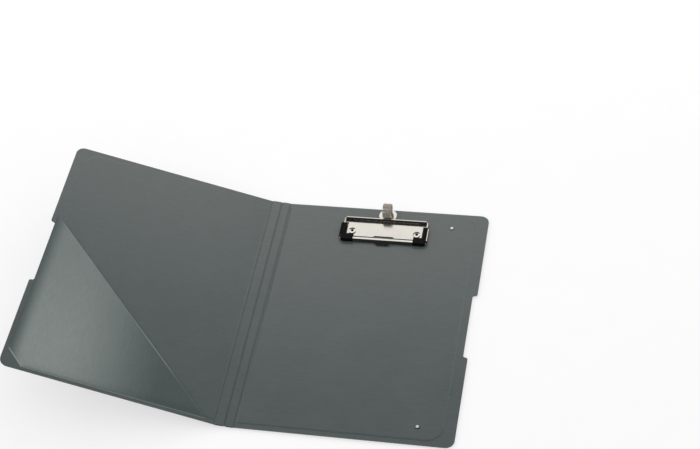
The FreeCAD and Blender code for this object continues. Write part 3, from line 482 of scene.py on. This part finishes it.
def loop_spring():
    turns, step = 36, math.radians(8.8)
    wire, outer, rise, band = 0.36, 8.04, 1.9, 10.0
    inner = outer - rise
    turn_radius = math.hypot(outer - inner * math.cos(step / 2), inner * math.sin(step / 2)) / 2
    run = band / 2 - wire - turn_radius
    first = math.pi / 2 - turns * step / 2
    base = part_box("pen_loop_spring")
    middle = (base[0] + base[1]) / 2
    drop = LOOP_RADIUS * math.cos(math.radians(180 - LOOP_FIRST_TURN))
    height = COVER_TOP + LOOP_BASE_SHEET + drop + LOOP_ROOM
    centre = Vector((middle.x, (HALF_HEIGHT - LOOP_BELOW_TOP) * MM, height * MM))

    def at(x, radius, angle):
        return Vector((x, radius * math.cos(angle), radius * math.sin(angle)))

    points = []

    def half_turn(a, b, way, parts=8):
        mid, radius = (a + b) / 2, (b - a).length / 2
        lead = (a - mid).normalized()
        for k in range(1, parts):
            t = math.pi * k / parts
            points.append(mid + lead * (radius * math.cos(t)) + Vector((way * radius * math.sin(t), 0, 0)))

    for k in range(turns):
        angle = first + k * step
        a, b = at(-run, outer, angle), at(run, outer, angle)
        c, d = at(run, inner, angle + step / 2), at(-run, inner, angle + step / 2)
        points.extend((a, b))
        half_turn(b, c, 1)
        points.extend((c, d))
        if k < turns - 1:
            half_turn(d, at(-run, outer, angle + step), -1)
    curve = bpy.data.curves.new("pen_loop_wire", "CURVE")
    curve.dimensions = "3D"
    curve.bevel_depth = wire * MM
    curve.bevel_resolution = 3
    curve.use_fill_caps = True
    line = curve.splines.new("POLY")
    line.points.add(len(points) - 1)
    for spot, p in zip(line.points, points):
        spot.co = (*(centre + p * MM), 1.0)
    holder = bpy.data.objects.new("pen_loop_wire_curve", curve)
    bpy.context.scene.collection.objects.link(holder)
    bpy.context.view_layer.update()
    mesh = bpy.data.meshes.new_from_object(holder.evaluated_get(bpy.context.evaluated_depsgraph_get()))
    bpy.data.objects.remove(holder)
    mesh.materials.clear()
    made = piece("pen_loop_wire", mesh, "spring", "back_cover")
    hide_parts("pen_loop_spring")


loop_spring()


# The clip's two rolls in fine steps: the plate's barrel, and the jaw's roll between the caps.
CLIP_X, CLIP_Y, CLIP_Z = BACK_X + 115.4, HALF_HEIGHT - 19.0, WELD_Z + 3.4
JAW_REACH, RIVET_REACH, RIVET_ACROSS, PLATE_SHEET = 29.3, 17.5, 36.8, 1.1


def roll_skin(name, y, radius, half, low, high, body):
    mesh = bpy.data.meshes.new(name)
    bm = bmesh.new()
    steps = 72
    grids = []
    for r in (radius, radius - SKIN_THICK):
        rows = []
        for i in range(steps + 1):
            t = math.radians(low + (high - low) * i / steps)
            spot = (y - r * math.cos(t), CLIP_Z + r * math.sin(t))
            rows.append([bm.verts.new(Vector((CLIP_X + x, *spot)) * MM) for x in (-half, 0.0, half)])
        grids.append(rows)
    closed_sheet(bm, *grids)
    settle(bm, mesh)
    piece(name, mesh, "polish", body)


roll_skin("clip_barrel_skin", CLIP_Y, 2.43, 45.6, -28.0, 250.0, "back_cover")
roll_skin("clip_roll_skin", CLIP_Y - JAW_REACH, 1.66, 33.7, 90.0, 232.0, "clip_lever")


# The clip's rivet heads: a shallow dish that runs down to the bore.
# Each step of the profile is a radius and a depth below the rim.
HEAD_HEIGHT = 1.07
HEAD_WALL = [(4.08, 1.05), (4.1, 0.04), (4.09, 0.01), (4.06, 0.0), (4.04, 0.004)]
HEAD_DISH = [(3.3, 0.19), (2.42, 0.33), (2.28, 0.34), (1.68, 0.34)]
HEAD_BORE = [(1.55, 0.38), (1.48, 0.48), (1.48, 0.95), (2.6, 1.05)]


def rivet_head(name, x):
    y, top = CLIP_Y - RIVET_REACH, COVER_TOP + PLATE_SHEET + HEAD_HEIGHT
    profile = HEAD_WALL + HEAD_DISH + HEAD_BORE
    mesh = bpy.data.meshes.new(name)
    bm = bmesh.new()
    around = 64
    rings = []
    for j in range(around):
        t = 2 * math.pi * j / around
        spots = [Vector((x + r * math.cos(t), y + r * math.sin(t), top - depth)) for r, depth in profile]
        rings.append([bm.verts.new(spot * MM) for spot in spots])
    for a, b in zip(rings, rings[1:] + rings[:1]):
        for i in range(len(profile)):
            n = (i + 1) % len(profile)
            bm.faces.new((a[i], a[n], b[n], b[i]))
    settle(bm, mesh)
    piece(name, mesh, "polish", "back_cover")


rivet_head("clip_rivet_head_left", CLIP_X - RIVET_ACROSS)
rivet_head("clip_rivet_head_right", CLIP_X + RIVET_ACROSS)


# The left cap's rubber goes over the frame's side wall, so that the wall's edge doesn't show there.
SIDE_LOW, SIDE_HIGH, SIDE_ROUND = (-50.2, -26.5, 1.5), (-48.2, -8.35, 5.75), 0.5


def cap_side():
    corner = Vector((CLIP_X, CLIP_Y, WELD_Z))
    low, high = corner + Vector(SIDE_LOW), corner + Vector(SIDE_HIGH)
    mesh = bpy.data.meshes.new("clip_cap_left_side")
    bm = bmesh.new()
    bmesh.ops.create_cube(bm, size=1.0)
    for vert in bm.verts:
        vert.co = Vector([(low[i] + high[i]) / 2 + vert.co[i] * (high[i] - low[i]) for i in range(3)]) * MM
    bmesh.ops.bevel(bm, geom=bm.edges[:], offset=SIDE_ROUND * MM, segments=4, profile=0.5, affect="EDGES")
    settle(bm, mesh)
    piece("clip_cap_left_side", mesh, "rubber", "clip_lever")


cap_side()


# The corner pocket: a sheet that rises softly from its welds along the fore and bottom edges.
POCKET_WELD_Z, POCKET_RISE, POCKET_SHEET, POCKET_FLOOR = 0.55, 1.95, 0.35, 0.42
FORE_REACH, LOW_REACH, CUT_REACH, TIP_WIDTH = 16.0, 9.0, 9.0, 0.02


def pocket_sheet():
    left, low, right, high = POCKET_LEFT, POCKET_LOW, POCKET_RIGHT, POCKET_HIGH
    cut_x, cut_y = POCKET_CUT_X, POCKET_CUT_Y
    mesh = bpy.data.meshes.new("pocket_foil_sheet")
    bm = bmesh.new()
    across, along = 90, 90
    cut_way = Vector((cut_y - low, cut_x - left)).normalized()

    def height(x, y):
        near_fore = max(0.0, (x - left) / FORE_REACH)
        near_low = max(0.0, (y - low) / LOW_REACH)
        near_cut = max(0.0, ((x - cut_x) * cut_way.x + (y - low) * cut_way.y) / CUT_REACH)
        rise = 1.0
        for near in (near_fore, near_low, near_cut):
            share = min(1.0, near)
            rise *= 0.5 - 0.5 * math.cos(math.pi * share) if share < 1.0 else 1.0
        return POCKET_WELD_Z + POCKET_RISE * rise ** 0.75

    rows = []
    for j in range(along + 1):
        v = (j / along) ** 1.25
        y = low + (high - low) * v
        start = left if y >= cut_y else left + (cut_x - left) * (cut_y - y) / (cut_y - low)
        end = right + (left - right) * v
        row = []
        for i in range(across + 1):
            u = (i / across) ** 1.5
            x = start + (max(end, start + TIP_WIDTH) - start) * u
            row.append((x, y, height(x, y)))
        rows.append(row)
    tops = [[bm.verts.new(on_front(*p)) for p in row] for row in rows]
    lower = [[(x, y, max(POCKET_FLOOR, z - POCKET_SHEET)) for x, y, z in row] for row in rows]
    unders = [[bm.verts.new(on_front(*p)) for p in row] for row in lower]
    closed_sheet(bm, tops, unders)
    settle(bm, mesh)
    made = piece("pocket_foil_sheet", mesh, "pocket", "front_cover")
    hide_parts("corner_pocket")


pocket_sheet()


# The elastic: a flat woven band with soft edges, taut between the eyelets, its ends drawn up into them.
ELASTIC_END, ELASTIC_PAST, ELASTIC_HALF, ELASTIC_DEEP, EYELET_FOOT = 22.0, 1.9, 2.0, 0.5, 0.35
NARROWS_FROM, NARROWS_OVER = 1.2, 3.15


def elastic():
    low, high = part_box("elastic_band")
    x = (low.x + high.x) / 2
    top = COVER_UNDER - EYELET_FOOT
    reach = HALF_HEIGHT - ELASTIC_END
    mesh = bpy.data.meshes.new("elastic_weave_band")
    bm = bmesh.new()
    around, runs = 16, 96
    rings = []
    for j in range(runs + 1):
        y = -reach - ELASTIC_PAST + 2 * (reach + ELASTIC_PAST) * j / runs
        past = max(0.0, abs(y) - reach + NARROWS_FROM)
        share = math.sqrt(max(0.02, 1.0 - (past / NARROWS_OVER) ** 2))
        loop = []
        for i in range(around):
            t = 2 * math.pi * i / around
            cx, cz = math.cos(t), math.sin(t)
            wide = ELASTIC_HALF * share * math.copysign(abs(cx) ** 0.45, cx)
            deep = ELASTIC_DEEP * math.copysign(abs(cz) ** 0.6, cz)
            loop.append(bm.verts.new(Vector((x / MM + wide, y, top - ELASTIC_DEEP + deep)) * MM))
        rings.append(loop)
    for a, b in zip(rings, rings[1:]):
        for i in range(around):
            bm.faces.new((a[i], a[(i + 1) % around], b[(i + 1) % around], b[i]))
    bm.faces.new(rings[0][::-1])
    bm.faces.new(rings[-1])
    settle(bm, mesh)
    made = piece("elastic_weave_band", mesh, "elastic", "back_cover")
    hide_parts("elastic_band")


elastic()

# Floor, light and camera.
floor_mesh = bpy.data.meshes.new("floor")
floor_mesh.from_pydata([(-6, -6, 0), (6, -6, 0), (6, 6, 0), (-6, 6, 0)], [], [(0, 1, 2, 3)])
floor = bpy.data.objects.new("floor", floor_mesh)
bpy.context.scene.collection.objects.link(floor)
f = Nodes("floor_pale")
f.join(f.ramp(f.noise(30.0), [(0.3, grey(0.95)), (0.7, grey(0.97))]), f.shader.inputs["Base Color"])
f.set(Roughness=0.9, Specular_IOR_Level=0.1)
# To the camera and to polished metal the floor is paler than it lights the folder; it keeps the shadow.
FLOOR_PALE = 0.62
seen = f.add("ShaderNodeLightPath")
white = f.add("ShaderNodeEmission")
white.inputs["Strength"].default_value = 1.0
pale = f.add("ShaderNodeMixShader")
shows = f.math("MAXIMUM", seen.outputs["Is Camera Ray"], seen.outputs["Is Glossy Ray"])
shows = f.math("MULTIPLY", f.math("MAXIMUM", shows, seen.outputs["Is Transmission Ray"]), FLOOR_PALE)
f.join(shows, pale.inputs[0])
f.join(f.shader.outputs[0], pale.inputs[1])
f.join(white.outputs[0], pale.inputs[2])
f.join(pale.outputs[0], f.tree.nodes["Material Output"].inputs["Surface"])
floor_mesh.materials.append(f.mat)


def lamp(name, spot, aim, size, power, color=(1.0, 1.0, 1.0)):
    data = bpy.data.lights.new(name, "AREA")
    data.color = color
    data.shape = "RECTANGLE"
    data.size, data.size_y = size
    data.energy = power
    made = bpy.data.objects.new(name, data)
    bpy.context.scene.collection.objects.link(made)
    made.location = spot
    made.rotation_euler = (Vector(aim) - Vector(spot)).to_track_quat("-Z", "Y").to_euler()


lamp("key", (-0.17, 0.9, 0.66), (-0.1, 0.1, 0), (0.94, 0.6), 1.65, (1.0, 0.975, 0.955))
lamp("side", (-1.15, 0.3, 0.85), (0.05, 0.05, 0), (0.8, 0.7), 1.6)
lamp("rim", (0.68, 0.86, 0.64), (0.2, 0.05, 0), (0.4, 0.6), 0.8)

world = bpy.data.worlds.new("studio")
bpy.context.scene.world = world
world.use_nodes = True
wt = world.node_tree
background = wt.nodes["Background"]
# The room is pale all round; polished metal sees its bright far side and its dark near side.
place = wt.nodes.new("ShaderNodeTexCoord")
split = wt.nodes.new("ShaderNodeSeparateXYZ")
side = wt.nodes.new("ShaderNodeValToRGB")
path = wt.nodes.new("ShaderNodeLightPath")
pick = wt.nodes.new("ShaderNodeMix")
pick.data_type = "RGBA"
side.color_ramp.elements[0].position = 0.15
side.color_ramp.elements[0].color = (0.02, 0.02, 0.022, 1)
side.color_ramp.elements[1].position = 0.45
side.color_ramp.elements[1].color = grey(0.1)
for at, level in ((0.86, 0.1), (0.93, 0.55)):
    side.color_ramp.elements.new(at).color = grey(level)
wt.links.new(place.outputs["Generated"], split.inputs[0])
wt.links.new(split.outputs["Y"], side.inputs["Fac"])
wt.links.new(path.outputs["Is Glossy Ray"], pick.inputs[0])
pick.inputs[6].default_value = grey(0.85)
wt.links.new(side.outputs["Color"], pick.inputs[7])
wt.links.new(pick.outputs[2], background.inputs["Color"])
background.inputs["Strength"].default_value = 1.0

# The camera, from the fit to the folder's corners and creases: angles, millimetres and pixels of the frame.
FRAME_WIDTH, SENSOR_WIDTH = 700.0, 36.0
AZIMUTH, ELEVATION, ROLL = math.radians(19.58), math.radians(46.22), math.radians(-10.67)
DISTANCE, FOCAL = 2081.71, 1783.08
TARGET = Vector((-50.55 + BACK_X, 324.39 - HALF_HEIGHT, COVER_TOP))
OFFSET = (-100.38, -27.89)
level = math.cos(ELEVATION)
toward = Vector((math.sin(AZIMUTH) * level, -math.cos(AZIMUTH) * level, math.sin(ELEVATION)))
ahead = -toward
right = ahead.cross(Vector((0, 0, 1))).normalized()
up = right.cross(ahead)
rolled_right = right * math.cos(ROLL) + up * math.sin(ROLL)
rolled_up = up * math.cos(ROLL) - right * math.sin(ROLL)
camera_data = bpy.data.cameras.new("camera")
camera_data.sensor_fit = "HORIZONTAL"
camera_data.sensor_width = SENSOR_WIDTH
camera_data.lens = FOCAL * SENSOR_WIDTH / FRAME_WIDTH
camera_data.shift_x = -OFFSET[0] / FRAME_WIDTH
camera_data.shift_y = OFFSET[1] / FRAME_WIDTH
camera_data.clip_end = 50.0
camera = bpy.data.objects.new("camera", camera_data)
bpy.context.scene.collection.objects.link(camera)
pose = Matrix((rolled_right, rolled_up, toward)).transposed().to_4x4()
pose.translation = (TARGET + toward * DISTANCE) * MM
camera.matrix_world = pose
bpy.context.scene.camera = camera
bpy.context.scene.view_settings.view_transform = "Standard"

bpy.context.view_layer.update()
